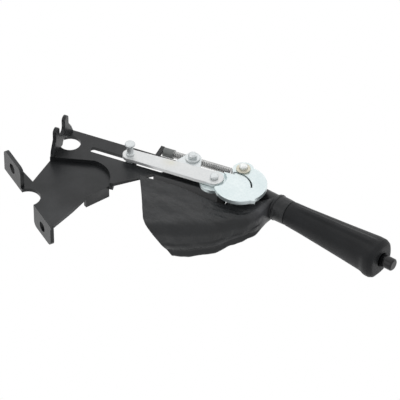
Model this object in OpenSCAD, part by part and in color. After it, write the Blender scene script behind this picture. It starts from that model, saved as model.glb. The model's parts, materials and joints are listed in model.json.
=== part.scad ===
// Floor-mounted parking brake lever: pressed bracket, ratchet lever, pull link, spring and soft boot.
// The rear foot hole is the origin, +Z points up from the mounting floor and +X runs towards the handle.

/* [Layout] */
// Height of the lever pivot above the mounting floor
pivot_z = 205; // [202:1:208]
// Distance along the floor from the rear foot hole to the pivot
pivot_x = 114; // [112:1:116]
// Slope of the guide plate above the floor, in degrees
plate_angle = 38; // [37:0.5:39]
// Slope of the handle below the guide plate, in degrees
handle_drop = 13; // [12:0.5:14]
// Distance of the handle's axis below the pivot
axis_offset = 4.6; // [4.2:0.1:5]

/* [Bracket] */
// Thickness of the pressed plates
plate_t = 4; // [3.5:0.1:4.2]
// Depth of the joggle between the guide plate and the base plate
joggle = 5; // [4.5:0.5:6]
// Length of the stiffening flanges
flange_h = 14; // [12:0.5:15]
// Radius of the foot bolt holes
foot_hole_r = 5.5; // [4.5:0.25:6]
// Length of each foot
foot_l = 38; // [34:1:40]
// Width of each foot
foot_w = 23; // [21:1:25]
// Width of the cable pin's slot
slot_w = 7.8; // [7.6:0.1:8.4]
// Radius of the relief hole beside the fork
relief_r = 11; // [9:0.5:11.5]
// Height of the fork above the guide plate
fork_h = 30; // [26:1:34]
// Width of the fork's notch
fork_notch = 12; // [10:0.5:13]

/* [Lever] */
// Outer radius of the lever tube
tube_r = 12; // [11.5:0.25:12.25]
// Wall of the lever tube
tube_wall = 2; // [1.5:0.25:2.5]
// Start of the grip along the handle
grip_start = 62; // [60:1:66]
// End of the grip along the handle
grip_end = 176; // [172:1:182]
// Radius of the push button
button_r = 6.5; // [6:0.1:7]
// How far the push button stands out of the grip
button_out = 14; // [11:0.5:16]
// Thickness of the lever cheeks
cheek_t = 3; // [2.6:0.1:3.2]

/* [Link] */
// Distance between the link's two pins
link_l = 92.8; // [91:0.2:94]
// Thickness of the link and the pull plate
link_t = 4; // [3.6:0.1:4]
// Width of the link's narrow end
link_w = 15.6; // [15:0.2:16.4]
// Radius of the cable pin
pin_r = 3.4; // [3:0.1:3.6]

/* [Ratchet] */
// Tip radius of the ratchet sector
sector_r = 30; // [29.6:0.1:30]
// Number of ratchet teeth
sector_teeth = 9; // [8:1:9]

/* [Hidden] */
$fn = 48;

// Clearances: between sliding plates, round a running pin, and a hair of glue line
slide_gap = 0.5;
run_gap = 0.05;
seat_gap = 0.3;
eps = 0.01;

// Levels across the pivot, counted up from the guide plate's outer face
foot_hole_level = 6;
low_level = slide_gap;
high_level = low_level + link_t + slide_gap;
head_level = high_level + link_t;
mid_level = -14;
cheek_top = -plate_t - 1.5;
lower_cheek_top = 2 * mid_level - cheek_top + cheek_t;
sector_t = 4;

// Places in the guide plate's own plane, from the pivot
crank = [-22, -23.5];
slot_b = -25;
slot_a = [-156, -80];
pin_place = [crank[0] - link_l, slot_b];
neck_r = 2.4;
shank_l = 12;
sector_fix = [-44, -20];
lug_at = [-56, -0.5];
heel_a = -7.5;
plate_top = -6;
plate_low = -34;
plate_rear = -192;
eye_r = 12;
bolt_r = 4;
bush_r = 8;
arc_c = [-148, -68];
arc_r = 32;
arc_end = 7;
arc_steps = 10;
base_corner = [-134.6, -89];
joggle_run = 4;
joggle_rear = [plate_rear, -49.5];
flange_a = [-85, -14];

// Places in the handle's own frame
tube_start = 22;
tube_end = 150;
pawl_h = 33;
pawl_g = -27;
pawl_tilt = 9;
pawl_tip_r = 3.5;
pawl_arm = (-axis_offset - pawl_g) / cos(pawl_tilt);
rod_r = 3;
rod_start = pawl_h + pawl_arm * sin(pawl_tilt) + pawl_tip_r + seat_gap;
guide_h = 84;
guide_l = 10;
button_in = 16;
cuff_h = 45;
cuff_l = 12;

// Return spring: coil and wire radius, its two ends, its level, and the sleeve over its fixed end
spring_r = 3.6;
spring_wire = 0.65;
spring_from = [-91, 5.8];
spring_to = [-16, 5.6];
spring_level = -4.4;
spring_angle = atan2(spring_to[1] - spring_from[1], spring_to[0] - spring_from[0]);
sleeve_l = 11.5;

// Boot: wall, clearance round the tube, rise of the cuff past its axis,
// points on a corner's arc, and steps between two sections
boot_t = 1.8;
boot_gap = 0.2;
boot_arm = 2;
boot_arc = 4;
boot_steps = 4;
cuff_r = tube_r + boot_gap + boot_t;

// A point given from the pivot along the floor and up, in the guide plate's plane
function floor_point(x, z) = [x * cos(plate_angle) + z * sin(plate_angle),
                              -x * sin(plate_angle) + z * cos(plate_angle)];
// A point of the handle's frame, in the guide plate's plane
function handle_point(h, g) = [h * cos(handle_drop) + g * sin(handle_drop),
                               -h * sin(handle_drop) + g * cos(handle_drop)];

// The guide plate's plane: x along the slot, y across it, z out of its outer face
module in_plane() {
    translate([pivot_x, foot_hole_level, pivot_z]) rotate([0, -plate_angle, 0]) rotate([90, 0, 0]) children();
}

// The handle's frame: x along the handle, y across it, z as in the guide plate's plane
module in_handle() {
    in_plane() rotate([0, 0, -handle_drop]) children();
}

// The handle's axis as the z axis
module on_handle_axis() {
    in_handle() translate([0, -axis_offset, mid_level]) rotate([0, 90, 0]) children();
}

module slab(low, high) {
    translate([0, 0, low]) linear_extrude(high - low) children();
}

module disc_at(place, r, low, high) {
    translate([place[0], place[1], low]) cylinder(r = r, h = high - low);
}

module slot_2d(from, to, w) {
    length = norm(to - from);
    angle = atan2(to[1] - from[1], to[0] - from[0]);
    translate(from) circle(d = w);
    translate(to) circle(d = w);
    translate(from) rotate(angle) translate([0, -w / 2]) square([length, w]);
}

// Shouldered bolt head: a low drum with a softened rim
module bolt_head(r, h) {
    rim = h / 3;
    rotate_extrude()
        polygon([[0, 0], [r, 0], [r, h - rim], [r - rim, h], [0, h]]);
}

// Guide plate outline, above the joggle line and right of its arc
module guide_2d() {
    polygon(concat([joggle_rear], joggle_arc(arc_r), [[flange_a[0], plate_low],
                    [flange_a[1], plate_low], [-4, -eye_r + 0.8], [-eye_r + 1, plate_top],
                    [plate_rear, plate_top]]));
    circle(r = eye_r);
}

// Points along the joggle's arc at a given radius, from its rear end
function joggle_arc(r) = [for (i = [0:arc_steps]) let (t = 90 - i * (90 - arc_end) / arc_steps)
                             arc_c + r * [cos(t), sin(t)]];

// Band of the joggle, between the guide plate's edge and the base plate's edge
module joggle_2d() {
    inner = joggle_arc(arc_r - joggle_run);
    polygon(concat([joggle_rear], joggle_arc(arc_r), [for (i = [arc_steps:-1:0]) inner[i]],
                   [joggle_rear - [0, joggle_run]]));
}

// Base plate outline, set back behind the guide plate and cut away between the feet
module base_2d() {
    floor_z = -pivot_z + eps;
    foot_a = -pivot_x - foot_l / 2 + 3;
    difference() {
        polygon(concat([joggle_rear - [0, joggle_run]], joggle_arc(arc_r - joggle_run),
                       [base_corner,
                        floor_point(-40, 30 - pivot_z), floor_point(-27, floor_z),
                        floor_point(foot_a, floor_z), floor_point(foot_a, 12 - pivot_z),
                        floor_point(-98, 15 - pivot_z)]));
        translate(floor_point(-79, -pivot_z)) circle(r = 13);
    }
}

// One bent foot on the mounting floor, reaching from the base plate's level to one side
module foot(x, side) {
    level = -joggle - plate_t;
    reach = side > 0 ? [level, level + foot_w + plate_t] : [level - foot_w, level + plate_t];
    corner_r = 6;
    hole_level = side > 0 ? foot_hole_level : 2 * level + plate_t - foot_hole_level;
    far = side > 0 ? reach[1] : reach[0];
    near = side > 0 ? reach[0] : reach[1];
    translate([0, foot_hole_level, 0]) difference() {
        linear_extrude(plate_t) {
            translate([x - foot_l / 2, min(-near, -far + side * corner_r)])
                square([foot_l, abs(far - near) - corner_r]);
            translate([x - foot_l / 2 + corner_r, min(-near, -far)])
                square([foot_l - 2 * corner_r, abs(far - near)]);
            for (s = [-1, 1])
                translate([x + s * (foot_l / 2 - corner_r), -far + side * corner_r]) circle(r = corner_r);
        }
        translate([x, -hole_level, -1]) cylinder(r = foot_hole_r, h = plate_t + 2);
    }
}

// Pressed steel bracket in one piece: guide plate, joggle, base plate, feet and flanges
module mounting_bracket() {
    flange_run = joggle_arc(arc_r - joggle_run)[arc_steps] - base_corner;
    color("dimgray") {
        in_plane() {
            slab(-plate_t, 0) difference() {
                guide_2d();
                slot_2d([slot_a[0], slot_b], [slot_a[1], slot_b], slot_w);
                translate([plate_rear + 9.5, -25.5]) circle(r = relief_r);
                circle(r = bolt_r + run_gap);
                translate(sector_fix) circle(r = bolt_r + run_gap);
            }
            slab(-joggle - plate_t, -joggle) base_2d();
            slab(-joggle - plate_t, 0) joggle_2d();
            translate([flange_a[0], plate_low, -flange_h - plate_t])
                cube([flange_a[1] - flange_a[0], plate_t, flange_h + plate_t]);
            translate([base_corner[0], base_corner[1], -joggle - flange_h])
                rotate([0, 0, atan2(flange_run[1], flange_run[0])])
                    cube([norm(flange_run), plate_t, flange_h]);
            // Tab that holds the fixed end of the return spring
            tab_h = spring_from[1] + 4 - plate_top;
            translate([spring_from[0] - seat_gap - plate_t, plate_top - 1, -plate_t])
                cube([plate_t, tab_h, plate_t]);
        }
        foot(0, 1);
        foot(67, -1);
    }
}

// Upright fork for the outer sleeve of the cable, standing on two legs beside the relief hole
module cable_fork() {
    middle = -31;
    prong = 9;
    top = fork_notch / 2 + prong;
    notch_z = 13 + fork_notch / 2;
    color("dimgray") in_plane() translate([plate_rear, 0, 0]) rotate([90, 0, 90]) linear_extrude(plate_t)
        difference() {
            union() {
                polygon([[plate_top, 0], [plate_top - 4, 9], [middle + top, 18],
                         [middle + top, fork_h - prong / 2], [middle - top, fork_h - prong / 2],
                         [middle - top, 18], [-52, 6], [-53, 0]]);
                for (s = [-1, 1])
                    translate([middle + s * (top - prong / 2), fork_h - prong / 2]) circle(d = prong);
            }
            translate([middle, notch_z]) circle(d = fork_notch);
            translate([middle - fork_notch / 2, notch_z]) square([fork_notch, fork_h]);
            translate([-25.5, 0]) scale(0.5) circle(r = relief_r);
        }
}

// Ratchet sector, fixed to the bracket by the pivot and the second bolt
module ratchet_sector() {
    first = -102;
    pitch = 50 / sector_teeth;
    root = sector_r - 3;
    teeth = [for (i = [0:sector_teeth - 1], k = [0, 1])
                let (t = first + pitch * (i + k * 0.85), r = k == 0 ? root : sector_r) r * [cos(t), sin(t)]];
    low = mid_level - sector_t / 2;
    color("slategray") in_plane() slab(low, low + sector_t) difference() {
        union() {
            circle(r = 13);
            polygon(concat([[0, 0], root * [cos(first - 6), sin(first - 6)]], teeth,
                           [root * [cos(first + 50), sin(first + 50)]]));
            slot_2d([0, 0], sector_fix, 16);
        }
        circle(r = bolt_r + run_gap);
        translate(sector_fix) circle(r = bolt_r + run_gap);
    }
}

// Low-headed bolt that ties the sector to the guide plate, under the link
module sector_bolt() {
    color("silver") in_plane() {
        disc_at(sector_fix, bolt_r, mid_level - sector_t / 2 - 8, eps);
        translate([sector_fix[0], sector_fix[1], 0]) bolt_head(6, 2);
    }
}

module sector_spacer() {
    color("silver") in_plane() difference() {
        disc_at(sector_fix, bush_r - 1, mid_level + sector_t / 2, -plate_t);
        disc_at(sector_fix, bolt_r + run_gap, mid_level - 1, 0);
    }
}

// Zinc lug welded on the guide plate's edge, over the return spring
module spring_lug() {
    color("gainsboro") in_plane() slab(0, link_t) difference() {
        union() {
            translate(lug_at) circle(r = 9);
            polygon([[-71, -12], [-42, -12], [-44, -8], lug_at + [8.5, 3], lug_at + [-8.2, 3.7]]);
        }
        translate(lug_at) circle(r = bolt_r);
    }
}

// Post riveted in the lug, with a shouldered head
module lug_post() {
    color("silver") in_plane() {
        disc_at(lug_at, bolt_r, 0, link_t + 2);
        translate([lug_at[0], lug_at[1], link_t + 2]) bolt_head(4.6, 5);
    }
}

module lug_washer() {
    color("gainsboro") in_plane() difference() {
        disc_at(lug_at, 7.6, link_t, link_t + 2);
        disc_at(lug_at, bolt_r + run_gap, link_t - 1, link_t + 3);
    }
}

module hex_nut(place, top, r, bore) {
    height = 6;
    difference() {
        translate([place[0], place[1], top - height]) cylinder(r = r, h = height, $fn = 6);
        disc_at(place, bore, top - height - 1, top + 1);
    }
}

module sector_nut() {
    color("silver") in_plane() hex_nut(sector_fix, mid_level - sector_t / 2, 7.5, bolt_r + run_gap);
}

// Pivot bolt with its shouldered head over the pull plate's free end
module pivot_bolt() {
    color("silver") in_plane() {
        disc_at([0, 0], bolt_r, lower_cheek_top - cheek_t - 12, head_level + 2);
        translate([0, 0, head_level + 2]) bolt_head(4.4, 4.5);
    }
}

module pivot_washer() {
    color("gainsboro") in_plane() difference() {
        disc_at([0, 0], 7.3, head_level + seat_gap, head_level + 2);
        disc_at([0, 0], bolt_r + run_gap, head_level - 1, head_level + 3);
    }
}

// Collar that carries the pull plate's free end above the guide plate
module pivot_collar() {
    shoulder = high_level - slide_gap - seat_gap;
    color("silver") in_plane() difference() {
        union() {
            disc_at([0, 0], bush_r, 0, shoulder);
            disc_at([0, 0], bush_r - 2, shoulder - eps, head_level + seat_gap);
        }
        disc_at([0, 0], bolt_r + run_gap, -1, head_level + 1);
    }
}

// Bush that the lever cheeks turn on, above and below the sector
module pivot_bush() {
    half = sector_t / 2;
    color("peru") in_plane() difference() {
        union() {
            disc_at([0, 0], bush_r, mid_level + half, -plate_t);
            disc_at([0, 0], bush_r, lower_cheek_top - cheek_t - 1, mid_level - half);
        }
        disc_at([0, 0], bolt_r + run_gap, -60, 0);
    }
}

module pivot_nut() {
    color("silver") in_plane() hex_nut([0, 0], lower_cheek_top - cheek_t - 1, 9, bolt_r + run_gap);
}

// Sleeve over the fixed end of the return spring
module spring_sleeve() {
    color("darkgray") in_plane() translate([spring_from[0], spring_from[1], spring_level])
        rotate([0, 0, spring_angle]) rotate([0, 90, 0]) difference() {
            cylinder(r = 4.8, h = sleeve_l);
            translate([0, 0, 2]) cylinder(r = spring_r + spring_wire + 0.2, h = sleeve_l);
        }
}

// Return spring: separate rings stand for the coils, on a thin core that keeps them one solid
module return_spring() {
    turns = 22;
    start = 2.6;
    length = norm(spring_to - spring_from) - start;
    color("lightgray") in_plane() translate([spring_from[0], spring_from[1], spring_level])
        rotate([0, 0, spring_angle]) rotate([0, 90, 0]) translate([0, 0, start]) {
            difference() {
                cylinder(r = spring_r, h = length);
                translate([0, 0, -1]) cylinder(r = spring_r - 0.8, h = length + 2);
            }
            for (i = [0:turns - 1])
                translate([0, 0, spring_wire + i * (length - 2 * spring_wire) / (turns - 1)])
                    rotate_extrude() translate([spring_r - 0.2, 0]) circle(r = spring_wire);
        }
}

// Rubber stop on the end of the bracket's flange, which the lever's heel rests against
module stop_buffer() {
    color("black") in_plane()
        translate([flange_a[1], plate_low, -flange_h - plate_t])
            cube([heel_a - seat_gap - flange_a[1], 8, flange_h]);
}

// Pull plate outline: a C whose free end carries the pivot
module pull_outline_2d() {
    difference() {
        union() {
            circle(r = 11);
            intersection() {
                translate([6, -21]) circle(r = 27);
                polygon([[0, 0], [9, 40], [60, 10], [60, -29], [24, -60], [0, -60], [-16, -37], [-14, -11],
                         [-6, -11]]);
            }
            polygon([[-16, -11.2], [0, -10.5], [20, -16], [29.5, -39], [22, -41.4], [10, -40.4], [-16, -35.6]]);
        }
        // Curved slit between the free end and the body
        intersection() {
            translate([-2, -29]) difference() {
                circle(r = 22.6);
                circle(r = 20.8);
            }
            polygon([[-7, 0], [-7, -12], [0, -20], [16, -24], [30, -14], [10, 4]]);
        }
    }
}

// Zinc pull plate, stepped down under the link's end
module pull_plate() {
    step_r = 13;
    color("lightsteelblue") in_plane() {
        slab(high_level - slide_gap, head_level) difference() {
            pull_outline_2d();
            translate(crank) circle(r = step_r);
            circle(r = bush_r - 2 + run_gap);
        }
        slab(low_level, high_level - slide_gap) difference() {
            translate(crank) circle(r = step_r + 2);
            translate(crank) circle(r = bolt_r - 1 + run_gap);
            circle(r = bush_r + 4);
        }
    }
}

// Rivet that the link turns on
module link_rivet() {
    color("silver") in_plane() {
        disc_at(crank, bolt_r - 1, low_level, head_level + seat_gap);
        translate([crank[0], crank[1], head_level + seat_gap]) bolt_head(4.4, 3.4);
    }
}

// Outside of a lever cheek: round the pivot, along the heel and round the pawl pin
module cheek_outline_2d() {
    pawl_at = handle_point(pawl_h, pawl_g);
    circle(r = 13);
    translate(pawl_at) circle(r = 8);
    polygon([[heel_a, -10], [heel_a, -33], [pawl_at[0], pawl_at[1] - 8], pawl_at + [7, 4],
             handle_point(tube_start, -20), handle_point(tube_start, 3), [3, 12.5]]);
}

module cheek_2d() {
    pawl_at = handle_point(pawl_h, pawl_g);
    difference() {
        cheek_outline_2d();
        circle(r = bush_r + run_gap);
        translate(pawl_at) circle(r = rod_r + run_gap);
        rotate(-handle_drop) translate([tube_start, -axis_offset - tube_r - 0.5]) square(60);
    }
}

module upper_cheek() {
    color("dimgray") in_plane() slab(cheek_top - cheek_t, cheek_top) cheek_2d();
}

module lower_cheek() {
    color("dimgray") in_plane() slab(lower_cheek_top - cheek_t, lower_cheek_top) cheek_2d();
}

// Block that joins the pull plate to the upper cheek, clear of the guide plate's eye
module spacer_block() {
    color("dimgray") in_handle()
        translate([tube_start - 6, -27, cheek_top]) cube([5.5, 23, high_level - slide_gap - cheek_top]);
}

// Lever tube, slotted below for the pawl
module handle_tube() {
    color("black") difference() {
        on_handle_axis() difference() {
            translate([0, 0, tube_start]) cylinder(r = tube_r, h = tube_end - tube_start);
            translate([0, 0, tube_start - 1]) cylinder(r = tube_r - tube_wall, h = tube_end);
        }
        in_handle() translate([tube_start - 1, -axis_offset - tube_r - 1, lower_cheek_top])
            cube([26, tube_r + 6, cheek_top - cheek_t - lower_cheek_top]);
    }
}

// Guide ring in the tube that the release rod slides through
module rod_guide() {
    color("ivory") on_handle_axis() translate([0, 0, guide_h]) difference() {
        cylinder(r = tube_r - tube_wall, h = guide_l);
        translate([0, 0, -1]) cylinder(r = rod_r + run_gap, h = guide_l + 2);
    }
}

// Grip outline: slim at the front, swelling to a rounded pommel
function grip_profile() = let (l = grip_end)
    [[tube_r, grip_start], [tube_r + 0.7, grip_start], [tube_r + 1, grip_start + 4],
     [tube_r + 1.6, grip_start + 20], [tube_r + 2.9, l - 70], [tube_r + 4.4, l - 45], [tube_r + 5.8, l - 24],
     [tube_r + 6.6, l - 12], [tube_r + 6.4, l - 5], [tube_r + 4, l - 1.2], [tube_r + 1, l],
     [button_r + run_gap, l], [button_r + run_gap, tube_end], [tube_r, tube_end]];

module grip() {
    color("black") on_handle_axis() rotate_extrude() polygon(grip_profile());
}

module push_button() {
    color("black") on_handle_axis() rotate_extrude()
        polygon([[0, grip_end - button_in], [button_r, grip_end - button_in],
                 [button_r, grip_end + button_out - 1.2], [button_r - 1.2, grip_end + button_out],
                 [0, grip_end + button_out]]);
}

module release_rod() {
    color("silver") on_handle_axis() translate([0, 0, rod_start])
        cylinder(r = rod_r, h = grip_end - button_in - rod_start);
}

// Spring that pushes the button out, as rings on a thin core
module button_spring() {
    turns = 14;
    from = guide_h + guide_l;
    length = grip_end - button_in - from;
    color("silver") on_handle_axis() translate([0, 0, from]) {
        difference() {
            cylinder(r = 5, h = length);
            translate([0, 0, -1]) cylinder(r = 4.4, h = length + 2);
        }
        for (i = [0:turns - 1])
            translate([0, 0, 0.6 + i * (length - 1.2) / (turns - 1)])
                rotate_extrude() translate([4.8, 0]) circle(r = 0.6);
    }
}

module pawl_pin() {
    low = lower_cheek_top - cheek_t - 1;
    color("silver") in_handle() disc_at([pawl_h, pawl_g], rod_r, low, cheek_top + 0.6);
}

// Pawl: a bell crank with its nose under the sector and its arm at the release rod
module pawl() {
    low = mid_level - sector_t / 2;
    pawl_at = handle_point(pawl_h, pawl_g);
    nose_r = sector_r + seat_gap + 0.1;
    color("slategray") difference() {
        union() {
            in_plane() slab(low, low + sector_t) {
                translate(pawl_at) circle(r = 6);
                polygon([pawl_at + [0, -5.5], [-5.5, -37], nose_r * [cos(-99), sin(-99)], [-1.5, -33.2],
                         [16, -32.4], pawl_at + [0, 5.5]]);
            }
            in_handle() translate([pawl_h, pawl_g, low]) rotate([0, 0, -pawl_tilt]) linear_extrude(sector_t) {
                translate([-pawl_tip_r, 0]) square([2 * pawl_tip_r, pawl_arm]);
                translate([0, pawl_arm]) circle(r = pawl_tip_r);
            }
        }
        in_plane() disc_at(pawl_at, rod_r + run_gap, low - 1, low + sector_t + 1);
    }
}

// Zinc link: a flat bar over the pull plate's step, widening towards the crank
module pull_link() {
    wide = 9.7;
    half = link_w / 2;
    // The bar's sides end just inside the round ends
    tuck = 0.3;
    color("gainsboro") in_plane() difference() {
        union() {
            disc_at(pin_place, half, high_level, head_level);
            disc_at(crank, wide, high_level, head_level);
            slab(high_level, head_level)
                polygon([pin_place + [0, half - tuck], crank + [0, wide - tuck],
                         crank + [0, tuck - wide], pin_place + [0, tuck - half]]);
        }
        disc_at(pin_place, pin_r, high_level - 1, head_level + 1);
        disc_at(crank, bolt_r - 1 + run_gap, high_level - 1, head_level + 1);
    }
}

// Cable pin: head and free shank above the link, shoulder below it and slim neck through the slot
module cable_pin() {
    color("silver") in_plane() {
        disc_at(pin_place, neck_r, -plate_t - 3.5, low_level + eps);
        disc_at(pin_place, pin_r + 1.6, low_level, high_level);
        disc_at(pin_place, pin_r, high_level - eps, head_level + shank_l + eps);
        disc_at(pin_place, pin_r + 1, head_level, head_level + 1.6);
        translate([pin_place[0], pin_place[1], head_level + shank_l]) bolt_head(5.3, 2.4);
    }
}

// Clip that keeps the cable pin in the slot
module pin_clip() {
    color("silver") in_plane() difference() {
        disc_at(pin_place, 6.5, -plate_t - 2, -plate_t - 0.6);
        disc_at(pin_place, neck_r, -plate_t - 3, 0);
    }
}

// Steel band round the boot's cuff
module boot_clamp() {
    band = 1.6;
    color("silver") on_handle_axis() translate([0, 0, cuff_h + band]) difference() {
        cylinder(r = cuff_r + boot_gap + 1, h = band);
        translate([0, 0, -1]) cylinder(r = cuff_r + boot_gap, h = band + 2);
    }
}

// Boot sections from the open end to the cuff: upper point, lower point, two levels, corner radius
function boot_sections() = [
    [-91, -45, -40, -107, -45, 6, 12],
    [-52, -43.5, -6, -90, -45, 4, 14],
    [-6, -44.5, 18, -68, -38, -1.5, 12],
    [22, -34, 36, -48, -32, -0.6, 9],
    cuff_section(cuff_h),
    cuff_section(cuff_h + cuff_l)];

// The cuff is a saddle under the lever tube
function cuff_section(h) =
    let (upper = handle_point(h, boot_arm - axis_offset), lower = handle_point(h, -cuff_r - axis_offset))
    concat(upper, lower, [mid_level - cuff_r, mid_level + cuff_r, cuff_r - seat_gap]);

// Smooth curve through the sections, at a share t of the span after section i, straight along the cuff
function boot_between(s, i, t) =
    let (last = len(s) - 1, p = s[max(i - 1, 0)], q = s[i], r = s[i + 1], v = s[min(i + 2, last)])
    i == last - 1 ? q + t * (r - q)
        : q + t * ((r - p) / 2 + t * (p - 2.5 * q + 2 * r - v / 2 + t * (1.5 * (q - r) + (v - p) / 2)));

// Half of a section's wall line: down one side and round the corner, set in from the outside
function boot_side(length, r, inset) =
    concat([[0, inset]], [for (i = [0:boot_arc]) let (t = 90 * i / boot_arc)
                             [length - r + (r - inset) * sin(t), r - (r - inset) * cos(t)]]);

// Closed line round a section's wall: outside one way, inside back
function boot_ring(k) =
    let (upper = [k[0], k[1]], along = [k[2], k[3]] - upper, length = norm(along), dir = along / length,
         out = boot_side(length, k[6], 0), in = boot_side(length, k[6], boot_t), n = len(out) - 1,
         line = concat([for (i = [0:n]) [out[i][0], k[5] - out[i][1]]],
                       [for (i = [n:-1:0]) [out[i][0], k[4] + out[i][1]]],
                       [for (i = [0:n]) [in[i][0], k[4] + in[i][1]]],
                       [for (i = [n:-1:0]) [in[i][0], k[5] - in[i][1]]]))
    [for (p = line) [upper[0] + dir[0] * p[0], upper[1] + dir[1] * p[0], p[1]]];

// Soft boot: a bag that hangs below the mechanism, open above it, with its cuff under the lever tube
module boot() {
    sections = boot_sections();
    last = len(sections) - 1;
    rings = concat([for (i = [0:last - 1], k = [0:boot_steps - 1])
                       boot_ring(boot_between(sections, i, k / boot_steps))], [boot_ring(sections[last])]);
    n = len(rings[0]);
    end = len(rings) - 1;
    sides = [for (j = [0:end - 1], i = [0:n - 1], f = [0, 1])
                let (a = j * n + i, b = j * n + (i + 1) % n) f == 0 ? [a, b, a + n] : [b, b + n, a + n]];
    hem = [for (i = [0:n / 2 - 2], f = [0, 1]) f == 0 ? [i, n - 1 - i, i + 1] : [i + 1, n - 1 - i, n - 2 - i]];
    lip = [for (f = hem) [f[0] + end * n, f[2] + end * n, f[1] + end * n]];
    color("black") in_plane() polyhedron([for (ring = rings, p = ring) p], concat(sides, hem, lip));
}

mounting_bracket();
cable_fork();
ratchet_sector();
sector_bolt();
sector_spacer();
sector_nut();
spring_lug();
lug_post();
lug_washer();
pivot_bolt();
pivot_washer();
pivot_collar();
pivot_bush();
pivot_nut();
spring_sleeve();
return_spring();
stop_buffer();
pull_plate();
upper_cheek();
lower_cheek();
spacer_block();
handle_tube();
rod_guide();
grip();
pawl_pin();
link_rivet();
boot_clamp();
boot();
pull_link();
cable_pin();
pin_clip();
pawl();
push_button();
release_rod();
button_spring();
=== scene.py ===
"""Looks of a floor-mounted parking brake lever: soft boot, wound springs, moulded grip and finishes."""
import json
import math

import bmesh
import bpy
from bpy.props import FloatProperty, FloatVectorProperty, IntProperty, PointerProperty
from mathutils import Matrix, Vector, noise


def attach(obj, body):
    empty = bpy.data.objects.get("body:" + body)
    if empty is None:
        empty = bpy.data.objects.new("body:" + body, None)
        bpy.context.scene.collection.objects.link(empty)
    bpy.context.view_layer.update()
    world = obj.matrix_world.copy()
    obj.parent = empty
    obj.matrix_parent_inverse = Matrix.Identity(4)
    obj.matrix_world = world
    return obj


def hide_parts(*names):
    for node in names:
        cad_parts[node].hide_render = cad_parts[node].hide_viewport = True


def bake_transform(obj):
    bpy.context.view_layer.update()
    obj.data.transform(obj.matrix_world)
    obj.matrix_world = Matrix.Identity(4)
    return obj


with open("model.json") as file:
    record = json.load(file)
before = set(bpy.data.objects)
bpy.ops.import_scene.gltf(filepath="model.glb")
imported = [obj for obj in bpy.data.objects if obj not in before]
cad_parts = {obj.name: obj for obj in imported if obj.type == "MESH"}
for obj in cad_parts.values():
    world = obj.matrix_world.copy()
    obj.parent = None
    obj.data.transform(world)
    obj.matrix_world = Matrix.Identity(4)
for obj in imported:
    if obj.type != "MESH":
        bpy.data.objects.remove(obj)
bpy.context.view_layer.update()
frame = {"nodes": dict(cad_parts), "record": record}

bl_info = {
    "name": "Parking Brake Lever Looks",
    "version": (1, 0, 0),
    "blender": (4, 5, 0),
    "location": "View3D > Sidebar > Lever",
    "description": "Builds the soft boot, springs, grip, finishes and stage round a packed lever model",
    "category": "Object",
}

MM = 0.001
PIVOT = Vector((0.114, 0.006, 0.205))
# Rise of the slot from the floor, and fall of the handle from the slot's line
PLATE_ANGLE = math.radians(38)
HANDLE_DROP = math.radians(13)
# Place of the handle's axis in mm: across the slot from the pivot, and out of the guide plate
AXIS_OFFSET = -4.6
MID_LEVEL = -14.0
# Points closer than this are merged, faces flatter than this are joined, and sharper edges are rounded
MERGE_DISTANCE = 1e-6
FLAT_ANGLE = math.radians(0.5)
SHARP_ANGLE = math.radians(35)


def plane(a, b, w):
    """A point given along the slot, across it and out of the guide plate, in mm from the pivot."""
    along = Vector((math.cos(PLATE_ANGLE), 0, math.sin(PLATE_ANGLE)))
    across = Vector((-math.sin(PLATE_ANGLE), 0, math.cos(PLATE_ANGLE)))
    return PIVOT + (along * a + across * b + Vector((0, -1, 0)) * w) * MM


def handle_2d(h, g):
    """A point of the handle's own frame, in the guide plate's plane."""
    cosine, sine = math.cos(HANDLE_DROP), math.sin(HANDLE_DROP)
    return h * cosine + g * sine, -h * sine + g * cosine


def on_handle(h, up, out):
    """A point along the handle's axis, with its distance above the axis and out to the link's side."""
    a, b = handle_2d(h, AXIS_OFFSET + up)
    return plane(a, b, MID_LEVEL + out)


def smooth_step(low, high, x):
    """0 below low and 1 above high, with a smooth rise between."""
    t = min(max((x - low) / (high - low), 0.0), 1.0)
    return t * t * (3 - 2 * t)


# Shader values


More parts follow.
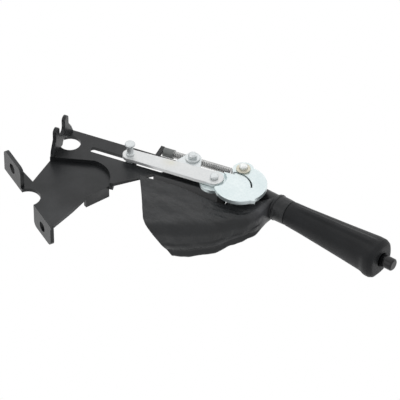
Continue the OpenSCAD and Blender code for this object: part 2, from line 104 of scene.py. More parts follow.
class Value:
    """A shader value that takes arithmetic, with plain numbers on either side."""

    def __init__(self, tree, socket):
        self.tree = tree
        self.socket = socket

    def feed(self, slot, term):
        """Links a value to a socket, or sets a plain one there."""
        if isinstance(term, Value):
            self.tree.links.new(term.socket, slot)
        else:
            slot.default_value = term

    def node(self, kind, inputs, output=0, **settings):
        """Any other node: its inputs by name or number, its settings, and the output to go on with."""
        made = self.tree.nodes.new(kind)
        for key, value in settings.items():
            setattr(made, key, value)
        for key, term in inputs.items():
            self.feed(made.inputs[key], term)
        return Value(self.tree, made.outputs[output])

    def math(self, operation, *terms):
        return self.node("ShaderNodeMath", dict(enumerate(terms)), operation=operation)

    def __add__(self, other):
        return self.math("ADD", self, other)

    def __sub__(self, other):
        return self.math("SUBTRACT", self, other)

    def __rsub__(self, other):
        return self.math("SUBTRACT", other, self)

    def __mul__(self, other):
        return self.math("MULTIPLY", self, other)

    __radd__ = __add__
    __rmul__ = __mul__

    def ramp(self, low, high):
        """0 below low and 1 above high."""
        return self.node("ShaderNodeMapRange", {0: self, 1: low, 2: high, 3: 0.0, 4: 1.0}, clamp=True)

    def noise(self, scale, detail=3.0):
        inputs = {"Vector": self, "Scale": scale, "Detail": detail, "Roughness": 0.55}
        return self.node("ShaderNodeTexNoise", inputs)

    def cells(self, scale):
        return self.node("ShaderNodeTexVoronoi", {"Vector": self, "Scale": scale})

    def stretched(self, x, y, z):
        return self.node("ShaderNodeMapping", {"Vector": self, "Scale": (x, y, z)})

    def near(self, point, radius):
        """1 at a point, falling to 0 at the given distance."""
        ends = {0: self, 1: tuple(point)}
        distance = self.node("ShaderNodeVectorMath", ends, output="Value", operation="DISTANCE")
        return 1.0 - distance.ramp(0.0, radius)

    def tint(self, first, second):
        """A colour between two others."""
        return self.over((*first, 1.0), second)

    def over(self, colour, second):
        """A colour laid over an earlier one by this share."""
        inputs = {0: self, 6: colour, 7: (*second, 1.0)}
        return self.node("ShaderNodeMix", inputs, output=2, data_type="RGBA")


class Finish:
    """A material with one principled shader, read from the object's own coordinates."""

    def __init__(self, name, constants):
        self.material = bpy.data.materials.new(name)
        self.material.use_nodes = True
        tree = self.material.node_tree
        self.shader = tree.nodes["Principled BSDF"]
        place = tree.nodes.new("ShaderNodeTexCoord")
        self.place = Value(tree, place.outputs["Object"])
        for key, value in constants.items():
            self.shader.inputs[key].default_value = value

    def set(self, slot, value):
        self.place.feed(self.shader.inputs[slot], value)

    def bump(self, height, strength, distance):
        inputs = {"Height": height, "Strength": strength, "Distance": distance}
        self.set("Normal", self.place.node("ShaderNodeBump", inputs))

    def edges(self):
        """The share of edge wear that the mesh carries."""
        return self.place.node("ShaderNodeAttribute", {}, output="Fac", attribute_name="edge_wear")


def black_paint(light):
    finish = Finish("satin_black_paint", {"Coat Roughness": 0.25, "Specular IOR Level": 0.25})
    cloud = finish.place.noise(22.0, 4.0)
    fleck = finish.place.noise(260.0, 2.0)
    base = cloud.ramp(0.3, 0.75).tint((0.016, 0.017, 0.018), light)
    worn = finish.edges() * fleck.ramp(0.42, 0.62)
    finish.set("Base Color", (worn * 0.8).over(base, (0.20, 0.20, 0.21)))
    finish.set("Roughness", cloud * 0.22 + fleck * 0.08 + 0.24)
    finish.set("Coat Weight", cloud.ramp(0.35, 0.8) * 0.2 + 0.12)
    finish.bump(finish.place.noise(1400.0, 2.0) + fleck * 0.6, 0.12, 0.0004)
    return finish.material


def bright_zinc(name, dark, light, bend_glint_point=None, metal=0.6):
    finish = Finish(name, {"Metallic": metal})
    cloud = finish.place.noise(45.0, 5.0)
    spangle = finish.place.cells(420.0)
    rolled = finish.place.stretched(1.0, 1.0, 0.08).noise(900.0, 2.0)
    colour = (cloud * 0.75 + spangle * 0.25).ramp(0.25, 0.75).tint(dark, light)
    # Painted highlight: a yellowish band round the given point, where the pull link's bend line catches the
    # light
    if bend_glint_point is not None:
        bend_glint = finish.place.near(bend_glint_point, 0.011) * cloud.ramp(0.3, 0.7)
        colour = (bend_glint * 0.55).over(colour, (0.80, 0.74, 0.50))
    grime = finish.edges() * cloud.ramp(0.5, 0.8)
    finish.set("Base Color", (grime * 0.35).over(colour, (0.42, 0.43, 0.42)))
    finish.set("Roughness", cloud * 0.18 + rolled * 0.10 + 0.20)
    finish.bump(rolled + spangle * 0.5, 0.08, 0.0003)
    return finish.material


def plain_steel():
    finish = Finish("plain_steel", {"Metallic": 1.0})
    cloud = finish.place.noise(80.0, 4.0)
    finish.set("Base Color", cloud.ramp(0.3, 0.7).tint((0.36, 0.36, 0.36), (0.62, 0.62, 0.61)))
    finish.set("Roughness", cloud * 0.25 + 0.22)
    finish.bump(finish.place.noise(1200.0), 0.1, 0.0003)
    return finish.material


def soft_vinyl(light):
    finish = Finish("soft_vinyl", {"Specular IOR Level": 0.3, "Sheen Weight": 0.05})
    cloud = finish.place.noise(28.0, 5.0)
    grain = finish.place.cells(900.0)
    base = cloud.ramp(0.25, 0.8).tint((0.026, 0.027, 0.028), light)
    # Painted highlight: a pale patch near the neck, where the boot looks washed out by light
    neck_glare = finish.place.near(on_handle(50, -26, 8), 0.020) * cloud.ramp(0.25, 0.6)
    chalk = finish.place.stretched(1.0, 1.0, 0.3).noise(120.0, 4.0).ramp(0.62, 0.75)
    finish.set("Base Color", (neck_glare * 0.6 + chalk * 0.10).over(base, (0.30, 0.30, 0.31)))
    finish.set("Roughness", cloud * 0.20 + grain * 0.08 + 0.20)
    wrinkle = finish.place.stretched(1.0, 0.6, 1.6).noise(55.0, 4.0)
    finish.bump(grain * 0.06 + wrinkle, 0.55, 0.004)
    return finish.material


def grip_plastic(light):
    finish = Finish("grained_grip_plastic", {"Specular IOR Level": 0.2})
    cloud = finish.place.noise(30.0, 4.0)
    grain = finish.place.noise(1500.0, 3.0)
    polish = finish.place.near(on_handle(150, 6, 18), 0.05)
    finish.set("Base Color", cloud.ramp(0.3, 0.7).tint((0.013, 0.014, 0.015), light))
    finish.set("Roughness", grain * 0.16 + cloud * 0.1 + 0.34 - polish * 0.06)
    finish.bump(grain + finish.place.cells(1100.0) * 0.4, 0.35, 0.0005)
    return finish.material


def plain_plastic(name, dark, light, roughness, grain_scale):
    finish = Finish(name, {"Specular IOR Level": 0.35})
    cloud = finish.place.noise(60.0, 4.0)
    finish.set("Base Color", cloud.ramp(0.3, 0.7).tint(dark, light))
    finish.set("Roughness", cloud * 0.12 + roughness)
    finish.bump(finish.place.noise(grain_scale), 0.08, 0.0003)
    return finish.material


def threaded_zinc():
    finish = Finish("threaded_zinc", {"Metallic": 1.0})
    cloud = finish.place.noise(60.0, 4.0)
    turns = finish.place.node("ShaderNodeTexWave", {"Vector": finish.place, "Scale": 250.0}, output=1,
                              bands_direction="Y")
    finish.set("Base Color", cloud.ramp(0.3, 0.7).tint((0.55, 0.57, 0.57), (0.80, 0.81, 0.80)))
    finish.set("Roughness", cloud * 0.2 + 0.22)
    finish.bump(turns, 0.35, 0.0004)
    return finish.material


def make_materials(colours):
    """Every finish by the record's slot name, with the single pieces that differ."""
    painted = black_paint(colours.paint)
    return {
        "black_steel": painted,
        "boot_clamp": painted,
        "zinc": bright_zinc("bright_zinc", (0.66, 0.70, 0.71), colours.zinc),
        # The pull link gets a lighter copy of the zinc, painted brighter for the glare on it
        "pull_link": bright_zinc("lit_link_zinc", (0.80, 0.82, 0.82), colours.link,
                                 bend_glint_point=plane(-72, -20, 9), metal=0.45),
        "pull_plate": bright_zinc("plate_zinc", (0.70, 0.80, 0.81), colours.plate),
        "pivot_washer": bright_zinc("washer_zinc", (0.60, 0.55, 0.42), (0.82, 0.79, 0.68)),
        "pivot_bolt": threaded_zinc(),
        "sector_bolt": threaded_zinc(),
        "steel": plain_steel(),
        "sleeve": plain_plastic("sleeve_plastic", (0.30, 0.31, 0.30), (0.46, 0.47, 0.45), 0.45, 700.0),
        "bronze": plain_plastic("sintered_bronze", (0.30, 0.19, 0.08), (0.45, 0.30, 0.14), 0.40, 900.0),
        "rubber": plain_plastic("black_rubber", (0.012, 0.012, 0.012), (0.03, 0.03, 0.03), 0.60, 500.0),
        "grip_plastic": grip_plastic(colours.grip),
        "button_plastic": plain_plastic("gloss_button", (0.006, 0.006, 0.007), colours.button, 0.10, 300.0),
        "guide_plastic": plain_plastic("natural_nylon", (0.62, 0.60, 0.52), (0.75, 0.73, 0.65),
                                       0.42, 500.0),
        "boot_vinyl": soft_vinyl(colours.vinyl),
    }


# Mesh helpers


def new_piece(name, mesh, material, slot):
    piece = bpy.data.objects.new(name, mesh)
    bpy.context.scene.collection.objects.link(piece)
    piece.data.materials.clear()
    piece.data.materials.append(material)
    return piece


def apply_modifiers(piece):
    """Makes a piece's modifiers real and takes them off."""
    graph = bpy.context.evaluated_depsgraph_get()
    mesh = bpy.data.meshes.new_from_object(piece.evaluated_get(graph))
    piece.modifiers.clear()
    piece.data = mesh


def loft(rings, closed_ring, caps=False):
    """A mesh skinned over rings of points."""
    mesh = bmesh.new()
    rows = [[mesh.verts.new(point) for point in ring] for ring in rings]
    count = len(rows[0])
    for low, high in zip(rows, rows[1:]):
        for i in range(count if closed_ring else count - 1):
            j = (i + 1) % count
            mesh.faces.new((low[i], low[j], high[j], high[i]))
    if caps:
        mesh.faces.new(rows[0][::-1])
        mesh.faces.new(rows[-1])
    bmesh.ops.recalc_face_normals(mesh, faces=mesh.faces)
    made = bpy.data.meshes.new("loft")
    mesh.to_mesh(made)
    mesh.free()
    made.shade_smooth()
    return made


def edged_copy(node, width, segments, material):
    """A copy of a CAD node's mesh with its sharp edges rounded and marked for wear."""
    source = frame["nodes"][node].data
    mesh = bmesh.new()
    mesh.from_mesh(source)
    bmesh.ops.remove_doubles(mesh, verts=mesh.verts, dist=MERGE_DISTANCE)
    bmesh.ops.dissolve_limit(mesh, angle_limit=FLAT_ANGLE, verts=mesh.verts, edges=mesh.edges)
    made = bpy.data.meshes.new(node + "_finish")
    mesh.to_mesh(made)
    mesh.free()
    made.shade_smooth()
    # The bevel gives its faces the second slot, which marks them
    made.materials.append(material)
    made.materials.append(material)
    piece = bpy.data.objects.new(node + "_finish", made)
    bpy.context.scene.collection.objects.link(piece)
    bevel = piece.modifiers.new("Edges", "BEVEL")
    bevel.width = width
    bevel.segments = segments
    bevel.limit_method = "ANGLE"
    bevel.angle_limit = SHARP_ANGLE
    bevel.material = 1
    normals = piece.modifiers.new("Normals", "WEIGHTED_NORMAL")
    normals.keep_sharp = True
    apply_modifiers(piece)
    mark_edges(piece.data)
    return piece


def mark_edges(mesh):
    """Writes edge_wear, 1 on the rounded edges and 0 elsewhere, and drops their second material slot."""
    slots = [face.material_index for face in mesh.polygons]
    wear = mesh.attributes.new("edge_wear", "FLOAT", "FACE")
    wear.data.foreach_set("value", [float(slot) for slot in slots])
    mesh.polygons.foreach_set("material_index", [0] * len(slots))
    mesh.materials.pop(index=1)


def body_of_node(node):
    bodies = frame["record"]["behaviour"]["bodies"]
    return next(body for body, members in bodies.items() if node in members)


def slot_of_node(node):
    return next(p["material_slot"] for p in frame["record"]["subparts"] if p["node"] == node)


MATERIALS = {}


def material_for(node):
    """A node's own finish, or else that of its slot. All are made at the first call."""
    if not MATERIALS:
        MATERIALS.update(make_materials(bpy.context.scene.lever.colours))
    return MATERIALS.get(node) or MATERIALS[slot_of_node(node)]


# Settings


def length_setting(name, description, default, low, high):
    """A length given in mm, and kept in metres as Blender keeps lengths."""
    return FloatProperty(name=name, description=description, default=default * MM, min=low * MM,
                         max=high * MM, precision=4, unit="LENGTH")


def count_setting(name, description, default, low, high):
    return IntProperty(name=name, description=description, default=default, min=low, max=high)


def power_setting(name, description, default):
    return FloatProperty(name=name, description=description, default=default, min=0.0, max=100.0,
                         unit="POWER")


def colour_setting(name, description, default):
    return FloatVectorProperty(name=name, description=description, default=default, min=0.0, max=1.0,
                               subtype="COLOR")


class LeverColours(bpy.types.PropertyGroup):
    """Lighter tone of each finish."""
    paint: colour_setting("Paint", "Paint on the black steel pieces", (0.048, 0.050, 0.053))
    zinc: colour_setting("Zinc", "Zinc on the lug and the small hardware", (0.86, 0.88, 0.88))
    # Lighter than the other zinc: painted glare on the link
    link: colour_setting("Link", "Zinc on the pull link", (0.95, 0.95, 0.94))
    plate: colour_setting("Pull plate", "Zinc on the pull plate", (0.88, 0.95, 0.95))
    vinyl: colour_setting("Boot", "Vinyl of the boot", (0.064, 0.066, 0.068))
    grip: colour_setting("Grip", "Plastic of the grip", (0.028, 0.029, 0.031))
    button: colour_setting("Button", "Plastic of the push button", (0.014, 0.014, 0.015))


class LeverEdges(bpy.types.PropertyGroup):
    """Rounding of the metal and plastic edges."""
    width: length_setting("Edge width", "Width of a rounded edge", 0.45, 0.1, 1.0)
    segments: count_setting("Segments", "Faces across a rounded edge", 2, 1, 4)


class LeverBoot(bpy.types.PropertyGroup):
    """Soft boot and its cuff."""
    rings: count_setting("Rings", "Rings of points from hem to cuff", 84, 24, 160)
    points: count_setting("Points round a ring", "Points from one upper edge to the other", 150, 32, 200)
    wall: length_setting("Wall", "Thickness of the boot's wall", 1.5, 0.8, 2.0)
    belly: length_setting("Reach of the near wall", "Extra reach of the near wall below", 10.0, 0.0, 12.0)
    crease: length_setting("Depth of creases", "Depth of the folds in the bag", 1.7, 0.0, 2.5)
    welt: length_setting("Height of the bottom welt", "Height of the welt under the bag", 1.6, 0.0, 2.5)
    hem: length_setting("Hem width", "Width of the thicker hem round the mouth", 8.0, 4.0, 12.0)


class LeverSpring(bpy.types.PropertyGroup):
    """Wound return spring."""
    turns: FloatProperty(name="Turns", description="Turns of the coil", default=38.0, min=20.0, max=60.0)
    coil_radius: length_setting("Coil radius", "Radius of the coil to the middle of its wire", 3.4, 2.0, 4.0)
    wire_radius: length_setting("Wire radius", "Radius of the wire", 0.6, 0.3, 0.8)


class LeverGrip(bpy.types.PropertyGroup):
    """Moulded grip."""
    rings: count_setting("Rings", "Rings of points along the outline", 110, 40, 200)
    points: count_setting("Points round a ring", "Points round the grip", 72, 32, 128)
    ridge: length_setting("Height of the side ridge", "Height of the ridge along each side", 1.5, 0.0, 2.0)
    stop: length_setting("Depth of the finger stop", "How far the pommel stands down", 2.4, 0.0, 5.0)


class LeverStage(bpy.types.PropertyGroup):
    """Camera and light."""
    distance: length_setting("Camera distance", "Distance from the target", 4000.0, 1000.0, 6000.0)
    span: length_setting("Width in view", "Width that the picture shows at the target", 406.0, 300.0, 800.0)
    key: power_setting("Key light", "Power of the large lamp above the picture", 4.5)
    fill: power_setting("Fill light", "Power of the lamp at the side and of the one overhead", 2.5)
    sky: FloatProperty(name="Sky light", description="Strength of the surround as light", default=0.25,
                       min=0.0, max=2.0)


class LeverSettings(bpy.types.PropertyGroup):
    """All settings of the lever's looks."""
    colours: PointerProperty(type=LeverColours)
    edges: PointerProperty(type=LeverEdges)
    boot: PointerProperty(type=LeverBoot)
    spring: PointerProperty(type=LeverSpring)
    grip: PointerProperty(type=LeverGrip)
    stage: PointerProperty(type=LeverStage)


# Pieces


class LEVER_OT_finishes(bpy.types.Operator):
    """Give every rigid CAD node rounded edges and its own finish."""
    bl_idname = "lever.finishes"
    bl_label = "Finish Rigid Pieces"

    # Nodes that other operators make, and nodes inside the tube that keep their CAD mesh
    MADE_APART = ("boot", "boot_clamp", "return_spring", "button_spring", "grip")
    INNER = ("release_rod", "rod_guide")

    def execute(self, context):
        settings = context.scene.lever.edges
        for node, source in frame["nodes"].items():
            if node in self.MADE_APART:
                continue
            if node in self.INNER:
                source.data.materials.clear()
                source.data.materials.append(material_for(node))
                continue
            piece = edged_copy(node, settings.width, settings.segments, material_for(node))
            slot_of_node(node)
            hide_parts(node)
            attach(piece, body_of_node(node))
        return {"FINISHED"}


class LEVER_OT_boot(bpy.types.Operator):
    """Loft the soft boot from its hem to its cuff and hang it on the lever tube."""
    bl_idname = "lever.boot"
    bl_label = "Make Boot"

    # Upper point, lower point, two levels and corner radius of each section, from the hem
    SECTIONS = (
        (-91, -45, -40, -107, -45, 6, 12),
        (-52, -43.5, -6, -90, -45, 4, 14),
        (-6, -44.5, 18, -68, -38, -1.5, 12),
        (22, -34, 36, -48, -32, -0.6, 9),
    )
    # Ends of the cuff along the handle, and its radius
    CUFF = (45.0, 61.6)
    CUFF_R = 13.6
    # Rough length from hem to cuff, height of the hem's lip and width of its step, in mm
    LENGTH = 148.0
    LIP = 0.9
    STEP = 1.6
    # Direction out of the mouth, along the slot and across it
    MOUTH = (-0.772, -0.635)
    # How far the mouth reaches out at its bottom and near wall, and is cut back at its far wall and below
    BOTTOM_REACH = 3
    NEAR_REACH = 4
    FAR_CUT = 11
    FAR_CUT_BELOW = 6
    # Middle and width of the welt and of the groove beside it, as shares of half the bag's width
    WELT = (-0.64, 0.11)
    GROOVE = (-0.38, 0.12)
    # Shares of the length between which creases and welt die out
    FADE = (0.55, 0.9)

    def cuff_section(self, h):
        """Section of the bag where it meets the cuff."""
        upper = handle_2d(h, AXIS_OFFSET + 2)
        lower = handle_2d(h, AXIS_OFFSET - self.CUFF_R)
        return (*upper, *lower, MID_LEVEL - self.CUFF_R, MID_LEVEL + self.CUFF_R, self.CUFF_R - 0.3)

    def between(self, sections, share):
        """A section on the smooth curve through the given ones."""
        last = len(sections) - 1
        i = min(int(share * last), last - 1)
        t = share * last - i
        p, q = sections[max(i - 1, 0)], sections[i]
        r, v = sections[i + 1], sections[min(i + 2, last)]
        return [b + t * ((c - a) / 2 + t * (a - 2.5 * b + 2 * c - d / 2 + t * (1.5 * (b - c) + (d - a) / 2)))
                for a, b, c, d in zip(p, q, r, v)]

    def wall_line(self, section, count):
        """Points down one side, round the bottom and up the other, evenly spaced, as depth and level."""
        depth = math.hypot(section[2] - section[0], section[3] - section[1])
        low, high, r = section[4], section[5], section[6]
        line = [(0.0, high)]
        line += [(depth - r + r * math.sin(t), high - r + r * math.cos(t)) for t in self.quarter()]
        line += [(depth - r + r * math.cos(t), low + r - r * math.sin(t)) for t in self.quarter()]
        line.append((0.0, low))
        lengths = [math.dist(p, q) for p, q in zip(line, line[1:])]
        total = sum(lengths)
        out = []
        walked = 0.0
        k = 0
        for i in range(count):
            target = total * i / (count - 1)
            while k < len(lengths) - 1 and walked + lengths[k] < target:
                walked += lengths[k]
                k += 1
            t = min((target - walked) / lengths[k], 1.0)
            out.append(tuple(p + t * (q - p) for p, q in zip(line[k], line[k + 1])))
        return out, depth

    def quarter(self):
        """Angles round a quarter turn."""
        return [math.pi / 2 * i / 10 for i in range(11)]

    def swell(self, side, nearness, reach):
        """How far the mouth's edge stands out: long on the near wall and cut back on the far one."""
        low = smooth_step(0, 1, side)
        near, far = max(nearness, 0), max(-nearness, 0)
        out = self.BOTTOM_REACH * low + near * (self.NEAR_REACH + reach * min(1.3 * side, 1.0))
        return out - far * (self.FAR_CUT + self.FAR_CUT_BELOW * low)

    def welt(self, nearness):
        """Raised welt under the bag, with a groove beside it."""
        raised, sunk = [math.exp(-((nearness - middle) / width) ** 2)
                        for middle, width in (self.WELT, self.GROOVE)]
        return raised - 0.9 * sunk

    def ring(self, sections, share, settings):
        """Points round the bag at a share of its length, with folds, hem and welt."""
        section = self.between(sections, share)
        line, depth = self.wall_line(section, settings.points)
        du, dv = (section[2] - section[0]) / depth, (section[3] - section[1]) / depth
        middle = (section[4] + section[5]) / 2
        half = (section[5] - section[4]) / 2
        free = 1 - smooth_step(*self.FADE, share)
        crease, welt = settings.crease / MM * free, settings.welt / MM * free
        hem = settings.hem / MM
        lip = self.LIP * (1 - smooth_step(hem - self.STEP, hem, share * self.LENGTH))
        points = []
        for s, w in line:
            side = s / depth
            out = 1 if w > middle else -1
            nearness = (w - middle) / half
            swell = self.swell(side, nearness, settings.belly / MM) * (1 - share) ** 3
            fold = noise.noise((side * 2.2 + share * 3.0, share * 7.0 - side * 2.0, out * 4.0))
            fine = noise.noise((side * 7.0 - share * 6.0, share * 16.0, out * 9.0 + 3.0))
            push = crease * smooth_step(0.05, 0.25, side) * (fold + 0.35 * fine)
            level = w + (push + lip - self.LIP) * out * min(abs(nearness), 1.0) ** 2
            down = s + (push - 0.6 + welt * self.welt(nearness)) * side ** 4
            a = section[0] + du * down + self.MOUTH[0] * swell
            b = section[1] + dv * down + self.MOUTH[1] * swell
            points.append(plane(a, b, level))
        return points

    def execute(self, context):
        settings = context.scene.lever.boot
        sections = (*self.SECTIONS, self.cuff_section(self.CUFF[0]))
        rings = [self.ring(sections, i / (settings.rings - 1), settings) for i in range(settings.rings)]
        mesh = loft(rings, closed_ring=False)
        girth = max(sum((q - p).length for p, q in zip(ring, ring[1:])) for ring in rings)
        boot = new_piece("boot_bag", mesh, material_for("boot"), "boot_vinyl")
        wall = boot.modifiers.new("Wall", "SOLIDIFY")
        wall.thickness = settings.wall
        wall.offset = -1.0
        apply_modifiers(boot)
        boot.data.shade_smooth()
        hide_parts("boot")
        cuff = self.make_cuff()
        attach(cuff, "lever")
        self.make_band()
        plane(-55, -80, MID_LEVEL)
        plane(14, -46, MID_LEVEL)
        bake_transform(boot)
        return {"FINISHED"}

    def turned(self, outline):
        """A closed outline of radius and distance along the handle, turned round the lever tube."""
        sides = 72
        turn = [2 * math.pi * i / sides for i in range(sides)]
        rings = [[on_handle(h, r * math.cos(t), r * math.sin(t)) for t in turn]
                 for r, h in (*outline, outline[0])]
        return loft(rings, closed_ring=True)

    def make_cuff(self):
        """Cuff with a rolled rear end, running out to the grip."""
        start, end = self.CUFF
        outline = ((12.3, start), (13.2, start - 0.3), (13.5, start + 0.1), (13.6, start + 0.6),
                   (13.5, start + 1.2), (13.4, start + 1.8), (13.2, end - 5), (12.95, end - 0.5),
                   (12.8, end), (12.3, end))
        return new_piece("boot_cuff", self.turned(outline), material_for("boot"), "boot_vinyl")

    def make_band(self):
        """Thin steel band round the cuff, painted black."""
        low, high = self.CUFF[0] + 1.7, self.CUFF[0] + 3.2
        outline = ((13.3, low), (13.8, low), (13.95, low + 0.2), (13.95, high - 0.2), (13.8, high),
                   (13.3, high))
        band = new_piece("boot_band", self.turned(outline), material_for("boot_clamp"), "steel")
        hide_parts("boot_clamp")
        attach(band, "lever")


class LEVER_OT_spring(bpy.types.Operator):
    """Wind the return spring and the button's spring, and hook the first to the lever."""
    bl_idname = "lever.spring"
    bl_label = "Make Springs"

    # Ends of the return spring's coil
    START = (-88.4, 5.79, -4.4)
    END = (-16.0, 5.6, -4.4)
    # A point on the coil's line, between its ends
    BEND = (-38.0, 5.6, -4.4)
    # The button's spring: its two ends along the handle, turns, coil radius and wire radius
    INNER_ENDS = (94.8, 159.2)
    INNER_COIL = (14.0, 4.7, 0.6)
    # The hook's wire: its first place along the slot, the points after it, and its radius
    HOOK_START = -16.4
    HOOK = ((-15.6, 7.5, -4.6), (-14.5, 6.0, -4.75), (-12.0, 4.6, -4.75), (-10.2, 4.2, -4.75))
    HOOK_RADIUS = 0.45

    def tree(self):
        """Geometry nodes that wind a wire into a coil along the z axis."""
        tree = bpy.data.node_groups.new("Wound Spring", "GeometryNodeTree")
        for name in ("Turns", "Coil Radius", "Wire Radius", "Length"):
            tree.interface.new_socket(name, in_out="INPUT", socket_type="NodeSocketFloat")
        tree.interface.new_socket("Material", in_out="INPUT", socket_type="NodeSocketMaterial")
        tree.interface.new_socket("Geometry", in_out="OUTPUT", socket_type="NodeSocketGeometry")
        given = tree.nodes.new("NodeGroupInput").outputs
        coil = tree.nodes.new("GeometryNodeCurveSpiral")
        coil.inputs["Resolution"].default_value = 28
        wire = tree.nodes.new("GeometryNodeCurvePrimitiveCircle")
        wire.inputs["Resolution"].default_value = 12
        tube = tree.nodes.new("GeometryNodeCurveToMesh")
        tube.inputs["Fill Caps"].default_value = True
        real = tree.nodes.new("GeometryNodeRealizeInstances")
        paint = tree.nodes.new("GeometryNodeSetMaterial")
        result = tree.nodes.new("NodeGroupOutput")
        for source, target in (
            (given["Turns"], coil.inputs["Rotations"]),
            (given["Coil Radius"], coil.inputs["Start Radius"]),
            (given["Coil Radius"], coil.inputs["End Radius"]),
            (given["Length"], coil.inputs["Height"]),
            (given["Wire Radius"], wire.inputs["Radius"]),
            (coil.outputs["Curve"], tube.inputs["Curve"]),
            (wire.outputs["Curve"], tube.inputs["Profile Curve"]),
            (tube.outputs["Mesh"], real.inputs["Geometry"]),
            (real.outputs["Geometry"], paint.inputs["Geometry"]),
            (given["Material"], paint.inputs["Material"]),
            (paint.outputs["Geometry"], result.inputs["Geometry"]),
        ):
            tree.links.new(source, target)
        return tree

    def hook(self, settings):
        """Wire from the coil's end, bent down into the eye of the lever's cheek."""
        start = (self.HOOK_START, self.END[1] + settings.coil_radius / MM, self.END[2])
        path = [plane(*point) for point in (start, *self.HOOK)]
        radius = self.HOOK_RADIUS * MM
        sides = 10
        rings = []
        for i, point in enumerate(path):
            along = (path[min(i + 1, len(path) - 1)] - path[max(i - 1, 0)]).normalized()
            across = along.cross(Vector((0, 1, 0))).normalized()
            up = along.cross(across)
            turn = [2 * math.pi * k / sides for k in range(sides)]
            rings.append([point + (across * math.cos(t) + up * math.sin(t)) * radius for t in turn])
        return loft(rings, closed_ring=True, caps=True)

    def wind(self, name, node, bodies, ends, turns, coil_radius, wire_radius, bend_from=None):
        """One coil between two points."""
        start, end = ends
        material = material_for(node)
        coil = new_piece(name, bpy.data.meshes.new(name), material, slot_of_node(node))
        modifier = coil.modifiers.new("Wound Spring", "NODES")
        modifier.node_group = self.tree()
        values = {"Turns": turns, "Coil Radius": coil_radius * MM, "Wire Radius": wire_radius * MM,
                  "Length": (end - start).length, "Material": material}
        for item in modifier.node_group.interface.items_tree:
            if item.in_out == "INPUT":
                modifier[item.identifier] = values[item.name]
        apply_modifiers(coil)
        turned = (end - start).to_track_quat("Z", "Y").to_matrix().to_4x4()
        coil.data.transform(Matrix.Translation(start) @ turned)
        coil.data.shade_smooth()
        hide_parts(node)
        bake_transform(coil)

    def execute(self, context):
        settings = context.scene.lever.spring
        ends = plane(*self.START), plane(*self.END)
        self.wind("spring_coil", "return_spring", ("bracket", "lever"), ends, settings.turns,
                  settings.coil_radius / MM, settings.wire_radius / MM, bend_from=plane(*self.BEND))
        hook = new_piece("spring_hook", self.hook(settings), material_for("return_spring"), "steel")
        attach(hook, "lever")
        inner = [on_handle(h, 0, 0) for h in self.INNER_ENDS]
        self.wind("button_coil", "button_spring", ("lever", "button"), inner, *self.INNER_COIL)
        return {"FINISHED"}


class LEVER_OT_grip(bpy.types.Operator):
    """Mould the grip with its side ridge, finger stop and squared pommel."""
    bl_idname = "lever.grip"
    bl_label = "Make Grip"

    # Distance along the handle, radius, and share of squareness
    OUTLINE = ((62.0, 12.25, 0.0), (62.1, 12.5, 0.0), (62.6, 12.8, 0.0), (64.0, 12.95, 0.02),
               (66.0, 13.05, 0.04), (82.0, 13.6, 0.15), (106.0, 14.9, 0.35), (131.0, 16.4, 0.5),
               (152.0, 17.8, 0.65), (164.0, 18.6, 0.75), (171.0, 18.4, 0.8), (174.4, 17.0, 0.8),
               (175.7, 15.2, 0.75), (176.0, 12.5, 0.5), (176.0, 8.4, 0.1), (175.4, 7.2, 0.0),
               (172.0, 6.7, 0.0))
    # Radii between bore and skin, then distances over which the stop grows and the ridge grows and ends
    SKIN = (11.5, 13.5)
    STOP = (158, 168)
    RIDGE_START = (66, 84)
    RIDGE_END = (160, 172)

    def at(self, share):
        """Distance, radius and squareness at a share of the outline."""
        last = len(self.OUTLINE) - 1
        i = min(int(share * last), last - 1)
        t = share * last - i
        return [p + t * (q - p) for p, q in zip(self.OUTLINE[i], self.OUTLINE[i + 1])]

    def ring(self, share, settings):
        """Points round the grip at a share of its outline."""
        h, r, square = self.at(share)
        outer = smooth_step(*self.SKIN, r)
        stop = settings.stop / MM * smooth_step(*self.STOP, h) * outer
        ridge = settings.ridge / MM * smooth_step(*self.RIDGE_START, h) * outer
        ridge *= 1 - smooth_step(*self.RIDGE_END, h)
        points = []
        for i in range(settings.points):
            t = 2 * math.pi * i / settings.points
            c, s = math.cos(t), math.sin(t)
            power = 2 + 2.4 * square
            shape = (abs(c) ** power + abs(s) ** power) ** (-1 / power)
            bump = ridge * math.exp(-((abs(s) - 0.995) / 0.02) ** 2) * (1 if c > -0.35 else 0.4)
            below = stop * smooth_step(0.35, 0.95, -c)
            reach = r * (shape * 0.5 + 0.5) + bump + below
            points.append(on_handle(h, reach * c, reach * s))
        return points

    def execute(self, context):
        settings = context.scene.lever.grip
        rings = [self.ring(i / (settings.rings - 1), settings) for i in range(settings.rings)]
        mesh = loft(rings, closed_ring=True)
        grip = new_piece("grip_moulding", mesh, material_for("grip"), "grip_plastic")
        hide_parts("grip")
        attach(grip, "lever")
        return {"FINISHED"}


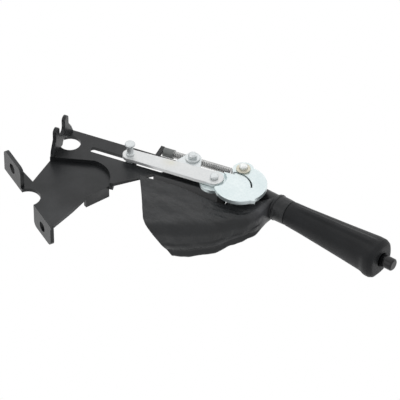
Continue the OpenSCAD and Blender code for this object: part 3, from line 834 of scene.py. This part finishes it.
class LEVER_OT_stage(bpy.types.Operator):
    """Set the camera, the soft lights, the pale floor and the white surround."""
    bl_idname = "lever.stage"
    bl_label = "Make Stage"

    # The picture's right, its rough up, and the point in its middle
    RIGHT = Vector((0.469, 0.0, 0.883))
    UP = Vector((-0.591, -0.743, 0.314))
    TARGET = Vector((0.1077, 0.0241, 0.1586))

    def axes(self):
        """The picture's right and up, and the way back to the camera."""
        right = self.RIGHT.normalized()
        back = right.cross(self.UP).normalized()
        return right, back.cross(right), back

    def camera(self, settings):
        right, up, back = self.axes()
        data = bpy.data.cameras.new("Camera")
        data.sensor_width = 36.0
        data.lens = data.sensor_width * settings.distance / settings.span
        camera = bpy.data.objects.new("Camera", data)
        turned = Matrix((right, up, back)).transposed().to_4x4()
        camera.matrix_world = Matrix.Translation(self.TARGET + back * settings.distance) @ turned
        bpy.context.scene.collection.objects.link(camera)
        bpy.context.scene.camera = camera

    def light(self, name, direction, distance, size, power):
        """A round lamp that faces the camera's target."""
        data = bpy.data.lights.new(name, "AREA")
        data.shape = "DISK"
        data.size = size
        data.energy = power
        lamp = bpy.data.objects.new(name, data)
        place = self.TARGET + direction.normalized() * distance
        turned = direction.to_track_quat("Z", "Y").to_matrix().to_4x4()
        lamp.matrix_world = Matrix.Translation(place) @ turned
        bpy.context.scene.collection.objects.link(lamp)

    def floor(self):
        """Pale floor that shows from above and lets the view from below through."""
        mesh = bpy.data.meshes.new("floor")
        half, level = 4.0, -0.001
        corners = ((-half, -half), (half, -half), (half, half), (-half, half))
        mesh.from_pydata([(x, y, level) for x, y in corners], [], [(0, 1, 2, 3)])
        glow = {"Emission Color": (1.0, 1.0, 1.0, 1.0), "Emission Strength": 0.5}
        finish = Finish("pale_floor", glow)
        cloud = finish.place.noise(3.0)
        finish.set("Base Color", cloud.tint((0.90, 0.90, 0.90), (0.94, 0.94, 0.94)))
        finish.set("Roughness", cloud * 0.1 + 0.8)
        tree = finish.material.node_tree
        lit = Value(tree, finish.shader.outputs[0])
        below = lit.node("ShaderNodeNewGeometry", {}, output="Backfacing")
        clear = lit.node("ShaderNodeBsdfTransparent", {})
        mixed = lit.node("ShaderNodeMixShader", {0: below, 1: lit, 2: clear})
        lit.feed(tree.nodes["Material Output"].inputs["Surface"], mixed)
        floor = bpy.data.objects.new("floor", mesh)
        floor.data.materials.append(finish.material)
        bpy.context.scene.collection.objects.link(floor)
        # The glow is for the camera only, so the floor sheds no light on the lever
        floor.visible_shadow = False
        floor.visible_diffuse = False
        floor.visible_glossy = False

    def surround(self, strength):
        """White where the camera looks and in what metal mirrors, softer as light."""
        world = bpy.data.worlds.new("surround")
        world.use_nodes = True
        tree = world.node_tree
        background = tree.nodes["Background"]
        background.inputs["Color"].default_value = (1.0, 1.0, 1.0, 1.0)
        white = Value(tree, background.outputs[0])
        kinds = ("Is Camera Ray", "Is Glossy Ray", "Is Transmission Ray")
        camera, glossy, passed = [white.node("ShaderNodeLightPath", {}, output=kind) for kind in kinds]
        sky = white.node("ShaderNodeBackground", {"Color": (0.93, 0.96, 1.0, 1.0), "Strength": strength})
        mixed = white.node("ShaderNodeMixShader", {0: camera + glossy + passed, 1: sky, 2: white})
        white.feed(tree.nodes["World Output"].inputs["Surface"], mixed)
        bpy.context.scene.world = world

    def execute(self, context):
        settings = context.scene.lever.stage
        context.scene.view_settings.view_transform = "Standard"
        right, up, back = self.axes()
        self.camera(settings)
        aside = back * 0.7 - right + up * 0.2
        overhead = Vector((0.1, -0.2, 1.0))
        self.light("key", up + back * 0.2, distance=1.6, size=2.2, power=settings.key)
        self.light("fill", aside, distance=1.8, size=1.4, power=settings.fill)
        self.light("top", overhead, distance=1.8, size=1.2, power=settings.fill)
        self.floor()
        self.surround(settings.sky)
        return {"FINISHED"}


class LEVER_PT_panel(bpy.types.Panel):
    """Settings and steps of the lever's looks."""
    bl_idname = "LEVER_PT_panel"
    bl_label = "Parking Brake Lever"
    bl_space_type = "VIEW_3D"
    bl_region_type = "UI"
    bl_category = "Lever"

    def draw(self, context):
        settings = context.scene.lever
        for operator in OPERATORS:
            self.layout.operator(operator.bl_idname)
        for part in LeverSettings.__annotations__:
            group = getattr(settings, part)
            box = self.layout.box()
            for name in group.__annotations__:
                box.prop(group, name)


OPERATORS = (LEVER_OT_finishes, LEVER_OT_boot, LEVER_OT_spring, LEVER_OT_grip, LEVER_OT_stage)
GROUPS = (LeverColours, LeverEdges, LeverBoot, LeverSpring, LeverGrip, LeverStage, LeverSettings)


def register():
    for entry in (*GROUPS, *OPERATORS, LEVER_PT_panel):
        bpy.utils.register_class(entry)
    bpy.types.Scene.lever = PointerProperty(type=LeverSettings)


def unregister():
    del bpy.types.Scene.lever
    for entry in reversed((*GROUPS, *OPERATORS, LEVER_PT_panel)):
        bpy.utils.unregister_class(entry)


def main():
    register()
    bpy.ops.lever.finishes()
    bpy.ops.lever.boot()
    bpy.ops.lever.spring()
    bpy.ops.lever.grip()
    bpy.ops.lever.stage()


if __name__ == "__main__":
    main()
